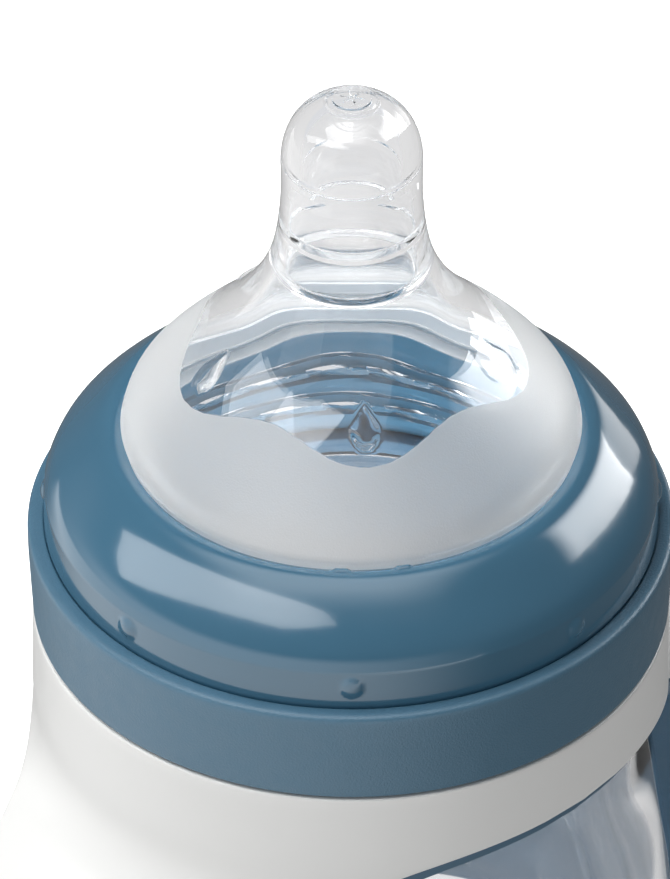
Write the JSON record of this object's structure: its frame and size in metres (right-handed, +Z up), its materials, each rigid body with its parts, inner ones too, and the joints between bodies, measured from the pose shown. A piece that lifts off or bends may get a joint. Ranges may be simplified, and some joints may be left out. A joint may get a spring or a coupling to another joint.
{
  "type": "baby learning bottle with handles",
  "caption": "Wide-neck learning bottle with a silicone teat, a screw collar and a two-handled frame that clips round the clear body.",
  "frame": {"origin": "centre of the foot ring, on the surface that the bottle stands on", "axes": "+Z up through the teat; the handles lie along X; the windows face -Y and +Y; the volume scale is on the +Y side"},
  "size_m": [0.1202, 0.0794, 0.15],
  "materials": {
    "clear_body": "clear polished copolyester",
    "silicone": "clear silicone, frosted on the skirt",
    "blue_gloss": "polished",
    "blue_matte": "fine spark texture",
    "white_shell": "satin",
    "blue_lining": "soft matte",
    "scale_ink": "printed"
  },
  "bodies": {
    "bottle": {"bottle_body": "clear_body", "volume_scale": "scale_ink"},
    "teat": {"nipple": "silicone"},
    "collar": {"screw_collar": "blue_gloss", "collar_grip_band": "blue_matte"},
    "handles": {"handle_shell": "white_shell", "handle_lining": "blue_lining"}
  },
  "joints": [
    {"name": "teat_lift", "type": "slide", "parent": "bottle", "child": "teat", "axis": [0, 0, 1], "range_m": [0, 0.01]},
    {"name": "collar_turn", "type": "hinge", "parent": "teat", "child": "collar", "pos_m": [0, 0, 0.095], "axis": [0, 0, 1], "range_deg": [0, 720]},
    {"name": "handle_swivel", "type": "hinge", "parent": "bottle", "child": "handles", "pos_m": [0, 0, 0.04], "axis": [0, 0, 1], "continuous": true}
  ],
  "couplings": [
    {"joint": "teat_lift", "follows": "collar_turn", "m_per_rad": 0.00079577}
  ]
}
